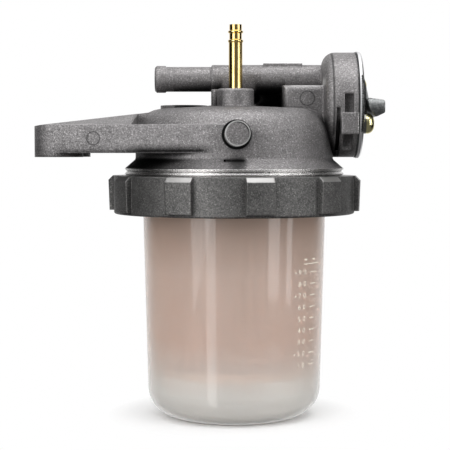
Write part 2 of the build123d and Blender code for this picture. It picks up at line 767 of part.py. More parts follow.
def lever_outline():
    """Outline of the grip seen from the right: a round hub drawn to a smaller tip."""
    tip_y = LEVER_TIP_R - LEVER_REACH
    tip_z = VALVE_Z + (LEVER_TOP - LEVER_LOW) / 2
    rounds = Pos(0, VALVE_Z) * Circle(LEVER_TAIL) + Pos(tip_y, tip_z) * Circle(LEVER_TIP_R)
    return Plane.YZ * make_hull(rounds.edges())


def make_valve_lever():
    """Rotor disc, stem and lever, cast in one piece. The lever points to the front."""
    rotor = on_valve_axis(Pos(0, 0, ROTOR_X) * Cylinder(ROTOR_R, ROTOR_T, align=LOW))
    stem_x = ROTOR_X + ROTOR_T / 2
    stem = on_valve_axis(Pos(0, 0, stem_x) * Cylinder(STEM_R, LEVER_X + HUB_T - stem_x, align=LOW))
    side_x = LEVER_X + HUB_T
    top_x = side_x + HUB_RISE
    corners = [(0, LEVER_X), (HUB_R, LEVER_X), (HUB_R, side_x), (HUB_TOP_R, top_x), (0, top_x)]
    hub = on_valve_axis(lathe(corners))
    grip_l = LEVER_REACH + LEVER_TAIL
    grip = extrude(make_face(lever_section()), grip_l, dir=(0, -1, 0))
    grip = Pos(0, LEVER_TAIL, 0) * grip
    grip &= extrude(lever_outline(), CUT_SIZE, dir=(1, 0, 0))
    return rotor + stem + hub + grip - rotor_groove()


def make_wave_washer():
    """Curved spring washer between the rotor and the cover."""
    low_x = ROTOR_BACK_X
    high_x = CROWN_IN_X - RUN_GAP
    outer_r = CROWN_R - PLATE_T - WASHER_GAP
    rise = high_x - low_x - WASHER_T
    bend_r = (outer_r**2 + rise**2) / (2 * rise)
    ring = on_valve_axis(tube(outer_r, outer_r - WASHER_W, low_x, high_x))
    bend = Pos(low_x + bend_r + WASHER_T, 0, VALVE_Z) * Rot(90, 0, 0)
    sheet = bend * Cylinder(bend_r + WASHER_T, CUT_SIZE) - bend * Cylinder(bend_r, CUT_SIZE)
    return ring & sheet


def make_lever_o_ring():
    """Rubber ring round the stem, under the cover's crown."""
    high_x = CROWN_IN_X - RUN_GAP
    low_x = high_x - STEM_RING_T
    corners = [
        (STEM_R, low_x),
        (STEM_R + STEM_RING_T, low_x),
        (STEM_R + STEM_RING_T, high_x),
        (STEM_R, high_x),
    ]
    return on_valve_axis(lathe(bevelled(corners, [STEM_RING_EDGE] * 4)))


def make_cover_gasket():
    """Thin gasket between the housing and the cover."""
    gasket = on_valve_axis(tube(PLATE_R - GASKET_STEP, POCKET_R, HOUSING_FACE_X, PLATE_X))
    for place in screw_places():
        start = (HOUSING_FACE_X - CUT_OVER, *place)
        gasket -= rod(start, (PLATE_X + CUT_OVER, *place), SCREW_CLEAR_R)
    return gasket


def make_cover_plate():
    """Pressed disc with a raised middle."""
    bore_r = STEM_R + STEM_GAP
    corners = [
        (bore_r, CROWN_IN_X),
        (CROWN_R - PLATE_T, CROWN_IN_X),
        (CROWN_R - PLATE_T, PLATE_X),
        (PLATE_R, PLATE_X),
        (PLATE_R, PLATE_FACE_X),
        (CROWN_R, PLATE_FACE_X),
        (CROWN_R, CROWN_X),
        (bore_r, CROWN_X),
    ]
    outline = bevelled(corners, [0, 0, 0, 0, PLATE_EDGE, 0, CROWN_EDGE, 0])
    plate = on_valve_axis(lathe(outline))
    for place in screw_places():
        start = (PLATE_X - CUT_OVER, *place)
        plate -= rod(start, (PLATE_FACE_X + CUT_OVER, *place), SCREW_CLEAR_R)
    return plate


def make_cover_screw(y, z):
    """Pan head screw with a cross recess."""
    low = SCREW_END_GAP - SCREW_DEEP
    seat = GASKET_T + PLATE_T
    top = seat + SCREW_HEAD_H
    screw = lathe(
        [
            (0, low),
            (SCREW_R - SOFT_EDGE, low),
            (SCREW_R, low + SOFT_EDGE),
            (SCREW_R, seat),
            (SCREW_HEAD_R, seat),
            (SCREW_HEAD_R, top),
            (0, top),
        ],
        [0, 0, 0, 0, 0, SCREW_HEAD_ROUND, 0],
    )
    for turn in (0, 90):
        screw -= Pos(0, 0, top) * Rot(0, 0, turn) * Box(CROSS_L, CROSS_W, 2 * CROSS_DEEP)
    return Pos(HOUSING_FACE_X, y, z) * Rot(0, 90, 0) * screw


def make_cap(outer_z, inward, hole_r):
    """End cap of the element: a flat disc with a rim turned over the pleats."""
    plate_z = outer_z + inward * CAP_T
    rim_z = outer_z + inward * CAP_RIM_H
    corners = [
        (hole_r, outer_z),
        (CAP_R, outer_z),
        (CAP_R, rim_z),
        (CAP_R - CAP_RIM_T, rim_z),
        (CAP_R - CAP_RIM_T, plate_z),
        (hole_r, plate_z),
    ]
    return lathe(bevelled(corners, [0, CAP_EDGE, 0, 0, 0, 0]))


def make_bottom_cap():
    """Closed lower cap with a round seat that keeps the spring in the middle."""
    cap = make_cap(ELEMENT_Z, 1, 0)
    seat = Pos(0, 0, ELEMENT_Z - SPRING_SEAT_H)
    return cap + seat * Cylinder(SPRING_SEAT_R, SPRING_SEAT_H + CAP_T / 2, align=LOW)


def make_top_cap():
    """Upper cap, open in the middle for the grommet."""
    return make_cap(ELEMENT_TOP_Z, -1, GROMMET_R - GROMMET_LIP)


def make_grommet():
    """Rubber ring that grips the top cap's hole and seals on the standpipe."""
    inner = STANDPIPE_R + SLIDE_GAP
    cap_low = ELEMENT_TOP_Z - CAP_T
    low = cap_low - GROMMET_LIP_T
    high = ELEMENT_TOP_Z + GROMMET_LIP_T / 2
    corners = [
        (inner, low),
        (GROMMET_R, low),
        (GROMMET_R, cap_low),
        (GROMMET_R - GROMMET_LIP, cap_low),
        (GROMMET_R - GROMMET_LIP, ELEMENT_TOP_Z),
        (GROMMET_R, ELEMENT_TOP_Z),
        (GROMMET_R, high),
        (inner, high),
    ]
    return lathe(bevelled(corners, [CAP_EDGE, CAP_EDGE, 0, 0, 0, 0, 0, CAP_EDGE]))


def pleat_outline(outer_r, inner_r):
    """Closed star of pleat folds."""
    points = []
    for index in range(2 * PLEATS):
        radius = outer_r if index % 2 == 0 else inner_r
        angle = math.pi * index / PLEATS
        points.append((radius * math.cos(angle), radius * math.sin(angle)))
    return make_face(Polyline(*points, close=True))


def make_media():
    """Pleated paper, one closed sheet standing between the caps."""
    fold_t = PAPER_T * 2
    outer = pleat_outline(MEDIA_R, MEDIA_IN_R + fold_t)
    inner = pleat_outline(MEDIA_R - fold_t, MEDIA_IN_R)
    return Pos(0, 0, ELEMENT_Z + CAP_T) * extrude(outer - inner, ELEMENT_H - 2 * CAP_T)


def make_core():
    """Perforated tube inside the pleats."""
    low = ELEMENT_Z + CAP_T
    height = ELEMENT_H - 2 * CAP_T
    core = tube(CORE_R, CORE_R - CORE_WALL, low, low + height)
    for row in range(CORE_ROWS):
        z = low + height * (row + 0.5) / CORE_ROWS
        for column in range(CORE_HOLES_ROUND // 2):
            turn = 360 * (column + 0.5 * (row % 2)) / CORE_HOLES_ROUND
            place = Pos(0, 0, z) * Rot(0, 0, turn) * Rot(0, 90, 0)
            core -= place * Cylinder(CORE_HOLE_R, 3 * CORE_R)
    return core


def make_spring():
    """Coil spring with ground ends between the cup's floor and the element."""
    coil = Helix(pitch=SPRING_H / SPRING_TURNS, height=SPRING_H, radius=SPRING_R)
    start = Plane(origin=coil @ 0, z_dir=coil % 0)
    wire = sweep(start * Circle(SPRING_WIRE / 2), path=coil)
    room = Cylinder(SPRING_R + SPRING_WIRE, SPRING_H, align=LOW)
    return Pos(0, 0, CUP_FLOOR) * (wire & room)


def build_parts():
    """Every piece of the object, by name."""
    front, rear = screw_places()
    return {
        "head_casting": make_head(),
        "return_pipe": make_return_pipe(),
        "standpipe": make_standpipe(),
        "ring_nut": make_ring_nut(),
        "bowl": make_bowl(),
        "bowl_seal": make_bowl_seal(),
        "element_media": make_media(),
        "element_top_cap": make_top_cap(),
        "element_bottom_cap": make_bottom_cap(),
        "element_core": make_core(),
        "element_grommet": make_grommet(),
        "element_spring": make_spring(),
        "valve_lever": make_valve_lever(),
        "valve_seal": make_valve_seal(),
        "wave_washer": make_wave_washer(),
        "lever_o_ring": make_lever_o_ring(),
        "cover_gasket": make_cover_gasket(),
        "cover_plate": make_cover_plate(),
        "cover_screw_front": make_cover_screw(*front),
        "cover_screw_rear": make_cover_screw(*rear),
    }


os.makedirs("parts", exist_ok=True)
for name, shape in build_parts().items():
    export_step(shape, f"parts/{name}.step")
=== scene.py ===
import math

import bmesh
import bpy
from mathutils import Matrix, Quaternion, Vector


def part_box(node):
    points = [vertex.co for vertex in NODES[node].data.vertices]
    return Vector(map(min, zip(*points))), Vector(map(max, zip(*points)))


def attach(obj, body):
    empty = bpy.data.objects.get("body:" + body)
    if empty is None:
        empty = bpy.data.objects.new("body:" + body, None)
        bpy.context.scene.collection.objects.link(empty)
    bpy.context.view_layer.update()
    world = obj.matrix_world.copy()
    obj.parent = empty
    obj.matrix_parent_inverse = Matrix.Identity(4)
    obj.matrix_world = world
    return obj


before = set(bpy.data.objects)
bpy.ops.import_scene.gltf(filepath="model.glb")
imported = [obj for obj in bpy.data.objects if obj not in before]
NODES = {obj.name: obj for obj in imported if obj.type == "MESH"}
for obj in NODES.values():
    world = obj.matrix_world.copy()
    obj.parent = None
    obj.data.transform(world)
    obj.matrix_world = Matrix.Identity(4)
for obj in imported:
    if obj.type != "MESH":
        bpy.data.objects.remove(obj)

# Finish, studio and camera of the fuel filter assembly, in metres, in the frame of the CAD model:
# +Z runs up the cup's axis, +X points to the valve and -Y is the front.

MM = 0.001
X, Y, Z = range(3)
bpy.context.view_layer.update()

# Camera: it stands in front of the filter, a little above its middle, and looks slightly down
CAMERA_AT = (-3.0 * MM, -440 * MM, 86.6 * MM)
CAMERA_DOWN = 3.13
LENS = 106.7
SENSOR = 36.0
CLIP_START = 0.01

# Room: how bright it is in reflections and as light, by direction
BACKDROP_EDGE = 0.5
BACKDROP_FULL = 0.85
ROOM_DIM = 0.16
CEILING_EDGE = 0.3
CEILING_FULL = 0.95
CEILING_SEEN = 0.6
SIDE_EDGE = 0.72
SIDE_FULL = 0.9
SIDE_SHARE = 0.1
ROOM_LIT_LOW = 0.3
ROOM_LIT_HIGH = 0.6

# Floor: it keeps the filter's shadow and fades to plain white over this range
FLOOR_R = 3.0
FLOOR_DROP = 0.05 * MM
FLOOR_FADE = (20 * MM, 42 * MM)
FLOOR_COLOUR = (0.92, 0.92, 0.92)

# Lamps stand round this height
LAMPS_Z = 70 * MM

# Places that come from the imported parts
RING_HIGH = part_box("ring_nut")[1]
PLATE_LOW, PLATE_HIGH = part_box("cover_plate")
GASKET_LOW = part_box("cover_gasket")[0]
VALVE_Z = (PLATE_LOW.z + PLATE_HIGH.z) / 2
VALVE_AXIS = (0.0, 0.0, VALVE_Z)
CUP_AXIS = (0.0, 0.0, 0.0)

# Turned surfaces: the skirt's thread, the housing's face and the ring's top
THREAD_TOP_Z = RING_HIGH.z + 2.35 * MM
THREAD_MIN_R = 35.2 * MM
HOUSING_FACE_X = GASKET_LOW.x - 0.12 * MM
CHAMFER_Z = RING_HIGH.z - 1.8 * MM

# Casting colours, dark in the pits and light on the grains
HEAD_DARK = (0.172, 0.167, 0.168)
HEAD_LIGHT = (0.375, 0.362, 0.364)
RING_DARK = (0.1, 0.1, 0.098)
RING_LIGHT = (0.25, 0.245, 0.24)
LEVER_DARK = (0.16, 0.165, 0.165)
LEVER_LIGHT = (0.3, 0.31, 0.31)

# Colours of turned faces, painted highlights, painted shade and the cover's dark band
TURNED_HEAD = (0.72, 0.71, 0.7)
TURNED_RING = (0.34, 0.335, 0.33)
RIM_HIGHLIGHT = (0.8, 0.8, 0.79)
FILLET_HIGHLIGHT = (0.9, 0.9, 0.89)
BLACK = (0.0, 0.0, 0.0)
BOSS_FOOT_SHADOW = (0.012, 0.012, 0.012)
BAND_DARK = (0.015, 0.015, 0.015)
CREASE_SHADE = (0.03, 0.03, 0.03)
SHADOW_PATCH_DARK = (0.04, 0.04, 0.04)

# Range that holds most of a noise's values
MOST_NOISE = (0.3, 0.7)

# Casting's texture: pits and clouds, with painted glints and edges painted brighter, partly as wear and
# partly as highlight
GRAIN_DEEP = 0.09 * MM
PIT_RANGE = (0.36, 0.66)
PIT_SHARES = (0.1, 0.76)
BLOTCH_SIZE = 7 * MM
CLOUD_SHARES = (-0.12, 0.2)
GLINT_RANGE = (0.6, 0.7)
GLINT_SHARE = 0.55
GLINT_BRIGHT = 1.9
EDGE_W = 0.3 * MM
EDGE_BEND = (0.995, 0.9)
EDGE_SHARE = 0.5
EDGE_BRIGHT = 1.7

# Painted shade in corners: how far the shelter is felt, its range and how dark it gets
CORNER_SHADE_REACH = 11 * MM
CORNER_SHADE_DEEP = 0.35
CORNER_SHADE_OPEN = 0.79
CORNER_SHADE_SHARE = 0.15

# Places on the head
DOME_TOP_Z = 101.3 * MM
BOSS_X = 0.8 * MM
BOSS_Z = 92.2 * MM
BOSS_R = 4.3 * MM
PIPE_BOSS_X = 1.5 * MM
BLOCK_X = 17 * MM
SLOT_X = 34 * MM
ARM_TOP_X = -20 * MM
ARM_TOP_Z = 91 * MM
ARM_LOW_Z = 86.9 * MM
CONE_TOP_Z = 84.3 * MM
RELIEF_Z = 83.95 * MM
FRONT_Y = -5 * MM

# Rounding of the head's cast edges, larger along the arm, and where the larger one ends
HEAD_ROUND_R = 1.0 * MM
ARM_ROUND_R = 2.6 * MM
ARM_ROUND_END = (-10 * MM, -4 * MM)

# Sheltered places where the painted corner shade is lifted: where they fade in, and how much of it is
# lifted
ARM_TOP_UNSHADED = 0.75
RELIEF_HALF_W = (3.5 * MM, 3.7 * MM)
RELIEF_HALF_H = (0.4 * MM, 0.5 * MM)
RELIEF_UNSHADED = 0.5
SLOTS_UNSHADED = 0.7
BLOCK_START = (BLOCK_X - 0.5 * MM, BLOCK_X)
CORNER_START = (20 * MM, 27 * MM)
CORNER_RISE = (96 * MM, 98.5 * MM)
BLOCK_UNSHADED = 0.85
PIPE_BOSS_HALF_W = (5 * MM, 6 * MM)
PIPE_BOSS_UNSHADED = 0.95
LEVER_UNSHADED = 0.7

# Painted shade under the arm: ranges along X and Z, and the share of the colour that is left there
ARM_EDGE_END = (-10.5 * MM, -6 * MM)
ARM_EDGE_SHARE = 0.03
ARM_TIP_END = (-38 * MM, -28 * MM)
ARM_TIP_SHARE = 0.8
ARM_EDGE_RISE = (ARM_LOW_Z, ARM_LOW_Z + 2.4 * MM)
ARM_WALL_RISE = (ARM_LOW_Z - 0.9 * MM, ARM_LOW_Z)
CONE_RANGE = (-23 * MM, -9 * MM)
CONE_SHARES = (0.18, 0.65)
CONE_UNSHADED_START = (0.5 * MM, 4 * MM)
CONE_RISE = (CONE_TOP_Z, CONE_TOP_Z + 0.6 * MM)

# Part of the normal beyond which a face counts as looking down, up or out along the valve's axis
FACING_DOWN = -0.7
FACING_UP = 0.4
FACING_OUT = 0.5

# Darker band on the dome's crown
CROWN_RISE = (98.2 * MM, 100.3 * MM)
CROWN_START = (-30 * MM, -22 * MM)
CROWN_END = (14 * MM, 20 * MM)
CROWN_DARKENING = 0.28

# Ejector marks on faces that look to the front, painted as dark rings that stand for the shade in their
# shallow grooves: x, z and radius
EJECTOR_MARKS = (
    (-44.2 * MM, 90.9 * MM, 2.05 * MM),
    (23.5 * MM, 103.9 * MM, 2.3 * MM),
)
EJECTOR_LINE_W = 0.4 * MM
EJECTOR_SHARE = 0.6

# Painted highlight on the front boss's rim, and the painted shadow on the relief under it
RIM_SHARE = 0.6
SHADOW_PATCH_Z = BOSS_Z - 9.3 * MM
SHADOW_PATCH_FADE = (1.2 * MM, 3.6 * MM)
SHADOW_PATCH_SHARE = 0.75

# Painted highlight on the fillet at the block's top, and the painted shade of the step round the valve
# housing
FILLET_START = (BLOCK_X, BLOCK_X + 2.5 * MM)
FILLET_END = (28.5 * MM, 29.5 * MM)
FILLET_RISE = (107.6 * MM, 108.4 * MM)
FILLET_FALL = (109.6 * MM, 111 * MM)
FILLET_SHARE = 0.8
SEAM_X = 31.6 * MM
SEAM_HALF_W = (0.15 * MM, 0.5 * MM)
SEAM_LOW_Z = 92 * MM
SEAM_SHARE = 0.75

# Heights over which the cup's stain, the painted shadow of the ring at the cup's top and the paper's
# darker colour come in
STAIN_RISE = (9 * MM, 27 * MM)
STAIN_WAVE = 2 * MM
RING_SHADOW_RISE = (48 * MM, 68 * MM)
PAPER_DARK_RISE = (20 * MM, 75 * MM)

# Cover's rim with its dark, notched band
RIM_MIN_R = 13 * MM
RIM_ROUGH = 0.6
BAND_X = 40.35 * MM
BAND_HALF_H = 9 * MM
NOTCH_PITCH = 0.8 * MM
NOTCH_DEEP = 0.12 * MM

# Toothed ring under the lever
TEETH = 72
TOOTH_STEPS = 8
TOOTH_IN_R = 7.9 * MM
TOOTH_OUT_R = 8.95 * MM
TOOTH_DEEP = 0.3 * MM
TOOTH_GAP = 0.04 * MM
TOOTH_T = 0.5 * MM

# Printed level scale: it starts at this angle to the right of the front and reads in steps of ten
SCALE_TURN = math.radians(43)
SCALE_ROWS = 9
SCALE_TOP_Z = 47.9 * MM
SCALE_STEP = 3.7 * MM
DIGIT_SIZE = 2.3 * MM
DIGIT_STRETCH = 1.45
DIGIT_SPACING = 1.5
LINE_W = 0.3 * MM
LINE_STEP = 1.0 * MM
TICK_FROM = 6.4 * MM
TICK_TO = 10 * MM
TICK_RISE = 0.5 * MM
DOT_ROWS = (0, 2, 7)
DOT_FROM = -1.4 * MM
DOT_TO = -0.9 * MM
DOT_RISE = 0.4 * MM
DOT_W = 0.5 * MM
RULE_FROM = 2.6 * MM
RULE_TO = 12 * MM
RULE_RISE = 3.2 * MM
DASH_PLACES = (0.3 * MM, 5 * MM)
DASH_L = 1.6 * MM
DASH_RISE = 1.3 * MM
CUP_R = 30.6 * MM
PRINT_T = 0.04 * MM
PRINT_FAINT = (0.66, 0.58, 0.48)
PRINT_FULL = (0.84, 0.77, 0.67)

# Faces that meet at less than this angle are shaded as one round surface
SMOOTH_UNDER = math.radians(28)

# Sockets that a mix node and a range node have for colours and for the range
COLOUR_A, COLOUR_B, COLOUR_RESULT = 6, 7, 2
RANGE_LABELS = ("From Min", "From Max", "To Min", "To Max")


class Graph:
    """A node tree and the nodes that both the materials and the room are built from."""

    def __init__(self, tree):
        self.tree = tree

    def add(self, kind, settings=None, **inputs):
        """A node with its settings and its inputs, each a value or another node's output."""
        node = self.tree.nodes.new(kind)
        for label, value in (settings or {}).items():
            setattr(node, label, value)
        for label, value in inputs.items():
            self.plug(node.inputs[label.replace("_", " ")], value)
        return node

    def plug(self, socket, value):
        """Link a socket to another node's output, or set its value."""
        if isinstance(value, bpy.types.NodeSocket):
            self.tree.links.new(value, socket)
        else:
            socket.default_value = value

    def math(self, operation, first, second=0.0):
        """Result of one operation on one or two numbers."""
        node = self.add("ShaderNodeMath", {"operation": operation})
        self.plug(node.inputs[0], first)
        self.plug(node.inputs[1], second)
        return node.outputs[0]

    def spread(self, value, low, high, to_low=0.0, to_high=1.0):
        """Map a range of a value to another range, clamped."""
        node = self.add("ShaderNodeMapRange", Value=value)
        for label, number in zip(RANGE_LABELS, (low, high, to_low, to_high)):
            self.plug(node.inputs[label], number)
        return node.outputs["Result"]

    def all_of(self, first, *others):
        """Product of masks and shares."""
        for other in others:
            first = self.math("MULTIPLY", first, other)
        return first

    def most_of(self, first, *others):
        """Largest of several masks."""
        for other in others:
            first = self.math("MAXIMUM", first, other)
        return first

    def part_of(self, vector, axis):
        """Part of a vector along one axis."""
        return self.add("ShaderNodeSeparateXYZ", Vector=vector).outputs[axis]


class Finish(Graph):
    """One procedural material, built node by node round its main shader."""

    def __init__(self, name, **shader):
        self.material = bpy.data.materials.new(name)
        self.material.use_nodes = True
        super().__init__(self.material.node_tree)
        self.shader = self.tree.nodes["Principled BSDF"]
        for label, value in shader.items():
            self.shader.inputs[label.replace("_", " ")].default_value = value
        self.object_point = self.add("ShaderNodeTexCoord").outputs["Object"]
        self.object_normal = self.add("ShaderNodeTexCoord").outputs["Normal"]

    def dress(self, colour, roughness=None, normal=None):
        """Give the main shader its colour, and where they are given its roughness and normal."""
        self.colour = colour
        self.roughness = roughness
        for label, value in (("Base Color", colour), ("Roughness", roughness), ("Normal", normal)):
            if value is not None:
                self.plug(self.shader.inputs[label], value)

    def paint(self, mask, colour):
        """Lay a colour over the surface where the mask is one."""
        self.colour = self.mix(mask, self.colour, colour)
        self.plug(self.shader.inputs["Base Color"], self.colour)

    def mix(self, factor, first, second):
        """Blend of two colours."""
        node = self.add("ShaderNodeMix", {"data_type": "RGBA"}, Factor=factor)
        self.plug(node.inputs[COLOUR_A], rgba(first))
        self.plug(node.inputs[COLOUR_B], rgba(second))
        return node.outputs[COLOUR_RESULT]

    def noise(self, size, detail=3.0, roughness=0.6):
        """Noise whose features are about this size, in metres."""
        node = self.add(
            "ShaderNodeTexNoise",
            Vector=self.object_point,
            Scale=1 / size,
            Detail=detail,
            Roughness=roughness,
        )
        return node.outputs["Fac"]

    def drawn_noise(self, scale, detail):
        """Noise that is drawn out along an axis; its scale is given for each axis, in turns a metre."""
        place = self.add("ShaderNodeMapping", Vector=self.object_point, Scale=scale)
        node = self.add("ShaderNodeTexNoise", Vector=place.outputs["Vector"], Scale=1.0, Detail=detail)
        return node.outputs["Fac"]

    def along(self, axis):
        """Place of the shaded point along one axis."""
        return self.part_of(self.object_point, axis)

    def beyond(self, axis, limit):
        """One where the place along an axis is over the limit."""
        return self.math("GREATER_THAN", self.along(axis), limit)

    def short_of(self, axis, limit):
        """One where the place along an axis is under the limit."""
        return self.math("LESS_THAN", self.along(axis), limit)

    def fade(self, axis, start, end, at_start=0.0, at_end=1.0):
        """Value that changes between two places along an axis and stays level outside them."""
        return self.spread(self.along(axis), start, end, at_start, at_end)

    def near(self, axis, place, full, none):
        """One as far from a place along an axis as full, and zero from none on."""
        off = self.math("ABSOLUTE", self.math("SUBTRACT", self.along(axis), place))
        return self.spread(off, full, none, 1.0, 0.0)

    def radius_from(self, centre, axis):
        """Distance of the shaded point from a line along one axis."""
        offset = self.add("ShaderNodeVectorMath", {"operation": "SUBTRACT"})
        self.plug(offset.inputs[0], self.object_point)
        self.plug(offset.inputs[1], centre)
        flat = self.add("ShaderNodeVectorMath", {"operation": "MULTIPLY"})
        self.plug(flat.inputs[0], offset.outputs[0])
        self.plug(flat.inputs[1], tuple(0.0 if index == axis else 1.0 for index in range(3)))
        length = self.add("ShaderNodeVectorMath", {"operation": "LENGTH"})
        self.plug(length.inputs[0], flat.outputs[0])
        return length.outputs["Value"]

    def ring_mark(self, centre, axis, radius, width):
        """One on a thin circle round a line along one axis and zero elsewhere."""
        off = self.math("ABSOLUTE", self.math("SUBTRACT", self.radius_from(centre, axis), radius))
        return self.spread(off, 0.35 * width, 0.65 * width, 1.0, 0.0)

    def soft_normal(self, radius):
        """Normal that rounds the sharp edges by a small radius."""
        return self.add("ShaderNodeBevel", {"samples": 6}, Radius=radius).outputs["Normal"]

    def shelter(self, reach):
        """Zero in deep corners and one on open faces."""
        settings = {"samples": 8, "only_local": False}
        return self.add("ShaderNodeAmbientOcclusion", settings, Distance=reach).outputs["AO"]

    def edge_mask(self, radius):
        """One on sharp edges and zero on flat places."""
        flat = self.add("ShaderNodeNewGeometry").outputs["Normal"]
        dot = self.add("ShaderNodeVectorMath", {"operation": "DOT_PRODUCT"})
        self.plug(dot.inputs[0], self.soft_normal(radius))
        self.plug(dot.inputs[1], flat)
        return self.spread(dot.outputs["Value"], *EDGE_BEND)

    def bump(self, height, distance, normal=None):
        """Normal with a relief of this depth on top of another normal."""
        node = self.add("ShaderNodeBump", Height=height, Distance=distance, Strength=1.0)
        if normal is not None:
            self.plug(node.inputs["Normal"], normal)
        return node.outputs["Normal"]

    def wear(self, *pieces):
        """Give this material to CAD nodes or new pieces."""
        for piece in pieces:
            piece.data.materials.clear()
            piece.data.materials.append(self.material)


def rgba(colour):
    """Colour as a shader takes it; a socket passes through."""
    if isinstance(colour, (tuple, list)):
        return (*colour[:3], 1.0)
    return colour


def brighter(colour, factor):
    """Colour times a factor; below one it gets darker."""
    return tuple(min(1.0, factor * part) for part in colour)


def add_casting(finish, dark, light, grain=0.5 * MM, rough=0.6, corner=0.6 * MM, bare=0.0):
    """Rough cast aluminium: pitted grain with painted glints, painted shade in corners, and edges
    painted brighter, partly as wear and partly as highlight.
    """
    speck = finish.noise(grain, 2.0, 0.7)
    blotch = finish.noise(BLOTCH_SIZE, 3.0)
    pits = finish.spread(speck, *PIT_RANGE, *PIT_SHARES)
    clouds = finish.spread(blotch, *MOST_NOISE, *CLOUD_SHARES)
    colour = finish.mix(finish.math("ADD", pits, clouds), dark, light)
    # Painted glints: bright specks laid into the colour
    glint = finish.spread(finish.noise(0.8 * grain, 1.0), *GLINT_RANGE, 0.0, GLINT_SHARE)
    colour = finish.mix(glint, colour, brighter(light, GLINT_BRIGHT))
    # Edges painted brighter, partly as wear and partly as painted highlight
    rubbed_and_lit = finish.all_of(finish.edge_mask(EDGE_W), EDGE_SHARE)
    colour = finish.mix(rubbed_and_lit, colour, brighter(light, EDGE_BRIGHT))
    # Painted shade: the colour darkens where the surface is sheltered, less so where bare is high
    open_share = finish.spread(finish.shelter(CORNER_SHADE_REACH), CORNER_SHADE_DEEP, CORNER_SHADE_OPEN)
    colour = finish.mix(finish.most_of(open_share, bare), brighter(dark, CORNER_SHADE_SHARE), colour)
    roughness = finish.spread(finish.noise(1.5 * grain, 2.0), *MOST_NOISE, rough - 0.1, rough + 0.1)
    height = finish.math("ADD", speck, finish.math("MULTIPLY", blotch, 1.5))
    finish.dress(colour, roughness, finish.bump(height, GRAIN_DEEP, finish.soft_normal(corner)))


def add_machined(finish, mask, colour, rough, across, pitch):
    """Turned surface inside a mask: bright, smooth, with fine tool marks across a measure."""
    fine = finish.math("SINE", finish.math("MULTIPLY", across, 2 * math.pi / pitch))
    tone = finish.mix(finish.spread(fine, -1.0, 1.0, 0.0, 0.25), colour, brighter(colour, 0.8))
    finish.paint(mask, tone)
    mixed_rough = finish.spread(mask, 0.0, 1.0, finish.roughness, rough)
    finish.plug(finish.shader.inputs["Roughness"], mixed_rough)


def head_corner(finish):
    """Edge radius of the head's casting: larger along the arm."""
    arm = finish.all_of(finish.fade(X, *ARM_ROUND_END, 1.0, 0.0), finish.beyond(Z, CONE_TOP_Z))
    return finish.spread(arm, 0.0, 1.0, HEAD_ROUND_R, ARM_ROUND_R)


def open_places(finish):
    """How far the painted corner shade is lifted on the head's places that lie open though they are
    sheltered.
    """
    over_dome = finish.beyond(Z, DOME_TOP_Z)
    across_relief = finish.near(X, BOSS_X, *RELIEF_HALF_W)
    up_relief = finish.near(Z, RELIEF_Z, *RELIEF_HALF_H)
    pipe_boss = finish.near(X, PIPE_BOSS_X, *PIPE_BOSS_HALF_W)
    return finish.most_of(
        finish.all_of(finish.short_of(X, ARM_TOP_X), finish.beyond(Z, ARM_TOP_Z), ARM_TOP_UNSHADED),
        finish.all_of(across_relief, up_relief, RELIEF_UNSHADED),
        finish.all_of(finish.beyond(X, SLOT_X), SLOTS_UNSHADED),
        finish.all_of(finish.fade(X, *BLOCK_START), over_dome, BLOCK_UNSHADED),
        finish.all_of(finish.fade(X, *CORNER_START), finish.fade(Z, *CORNER_RISE), BLOCK_UNSHADED),
        finish.all_of(pipe_boss, over_dome, PIPE_BOSS_UNSHADED),
    )


def add_arm_shade(finish):
    """Painted shade on the arm's lower edge and on the cone that the arm shelters."""
    cone = finish.most_of(finish.fade(X, *CONE_RANGE, *CONE_SHARES), finish.fade(X, *CONE_UNSHADED_START))
    edge = finish.most_of(
        finish.fade(X, *ARM_EDGE_END, ARM_EDGE_SHARE, 1.0),
        finish.fade(X, *ARM_TIP_END, ARM_TIP_SHARE, 0.0),
    )
    below_arm = finish.fade(Z, *CONE_RISE, cone, 1.0)
    up_to_edge = finish.fade(Z, *ARM_WALL_RISE, below_arm, edge)
    share = finish.fade(Z, *ARM_EDGE_RISE, up_to_edge, 1.0)
    underside = finish.math("LESS_THAN", finish.part_of(finish.object_normal, Z), FACING_DOWN)
    painted_shade = finish.math("SUBTRACT", 1.0, finish.most_of(share, underside))
    finish.paint(painted_shade, BLACK)


def add_crown(finish):
    """Darker band on the dome's crown."""
    crown = finish.all_of(
        finish.fade(Z, *CROWN_RISE),
        finish.short_of(Z, DOME_TOP_Z),
        finish.fade(X, *CROWN_START),
        finish.fade(X, *CROWN_END, 1.0, 0.0),
        CROWN_DARKENING,
    )
    finish.paint(crown, BLACK)


def add_ejector_marks(finish):
    """Round marks that ejector pins left in the casting, painted dark as the shade in their shallow
    grooves.
    """
    for x, z, radius in EJECTOR_MARKS:
        mark = finish.ring_mark((x, 0.0, z), Y, radius, EJECTOR_LINE_W)
        finish.paint(finish.all_of(mark, finish.short_of(Y, FRONT_Y), EJECTOR_SHARE), CREASE_SHADE)


def boss_circle(finish, shift, inset, width):
    """Circle inside the front boss's edge, moved a little along X and Z."""
    centre = (BOSS_X + shift, 0.0, BOSS_Z + shift)
    circle = finish.ring_mark(centre, Y, BOSS_R - inset, width)
    return finish.all_of(circle, finish.short_of(Y, FRONT_Y))


